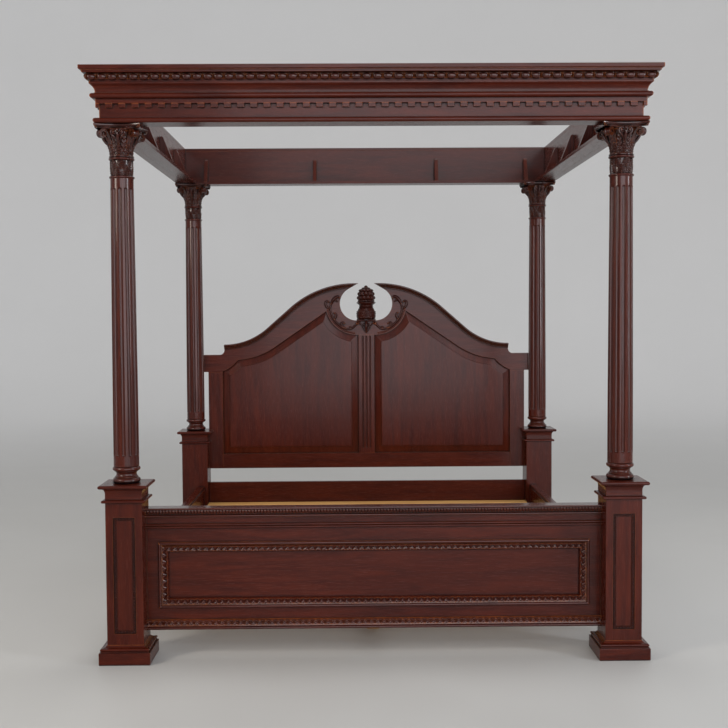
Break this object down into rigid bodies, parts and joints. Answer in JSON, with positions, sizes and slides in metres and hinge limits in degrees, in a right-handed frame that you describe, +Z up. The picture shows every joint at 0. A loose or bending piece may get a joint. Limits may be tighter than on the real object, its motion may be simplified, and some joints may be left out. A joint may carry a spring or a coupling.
{
  "type": "four poster canopy bed",
  "caption": "Four poster bed with fluted columns on square pedestals, a moulded canopy frame, an arched headboard, a panelled footboard and a slatted base.",
  "frame": {"origin": "floor level at the middle of the bed", "axes": "+Z up, +Y towards the head end, +X to the right of someone who stands at the foot end and looks at the headboard"},
  "size_m": [2.372, 2.384, 2.466],
  "materials": {
    "mahogany": "semi-gloss varnish",
    "carved_mahogany": "glazed and varnished",
    "slat_wood": "sanded, unfinished",
    "steel": "zinc plated"
  },
  "bodies": {
    "root": {"front_left_plinth": "mahogany", "front_right_plinth": "mahogany", "rear_left_plinth": "mahogany", "rear_right_plinth": "mahogany", "front_left_pedestal": "mahogany", "front_right_pedestal": "mahogany", "rear_left_pedestal": "mahogany", "rear_right_pedestal": "mahogany", "front_left_cap": "mahogany", "front_right_cap": "mahogany", "rear_left_cap": "mahogany", "rear_right_cap": "mahogany", "front_left_column": "mahogany", "front_right_column": "mahogany", "rear_left_column": "mahogany", "rear_right_column": "mahogany", "front_left_capital": "carved_mahogany", "front_right_capital": "carved_mahogany", "rear_left_capital": "carved_mahogany", "rear_right_capital": "carved_mahogany", "left_pedestal_moulding": "carved_mahogany", "right_pedestal_moulding": "carved_mahogany", "post_studs": "steel", "canopy_pins": "steel", "front_cornice": "mahogany", "rear_cornice": "mahogany", "left_cornice": "mahogany", "right_cornice": "mahogany", "front_soffit": "mahogany", "rear_soffit": "mahogany", "left_soffit": "mahogany", "right_soffit": "mahogany", "canopy_gussets": "mahogany", "headboard_left_stile": "mahogany", "headboard_right_stile": "mahogany", "headboard_bottom_rail": "mahogany", "headboard_top_rail": "mahogany", "headboard_centre_stile": "mahogany", "headboard_left_panel": "mahogany", "headboard_right_panel": "mahogany", "headboard_left_crown": "carved_mahogany", "headboard_right_crown": "carved_mahogany", "headboard_left_scroll": "carved_mahogany", "headboard_right_scroll": "carved_mahogany", "headboard_leaf_drop": "carved_mahogany", "headboard_finial": "carved_mahogany", "head_rail": "mahogany", "footboard_frame": "mahogany", "footboard_panel": "mahogany", "footboard_cap_moulding": "carved_mahogany", "footboard_panel_moulding": "carved_mahogany", "footboard_base_moulding": "carved_mahogany", "left_side_rail": "mahogany", "right_side_rail": "mahogany", "rail_cleats": "slat_wood", "slats": "slat_wood", "centre_beam": "slat_wood", "centre_legs": "slat_wood", "bed_bolts": "steel"}
  },
  "joints": []
}
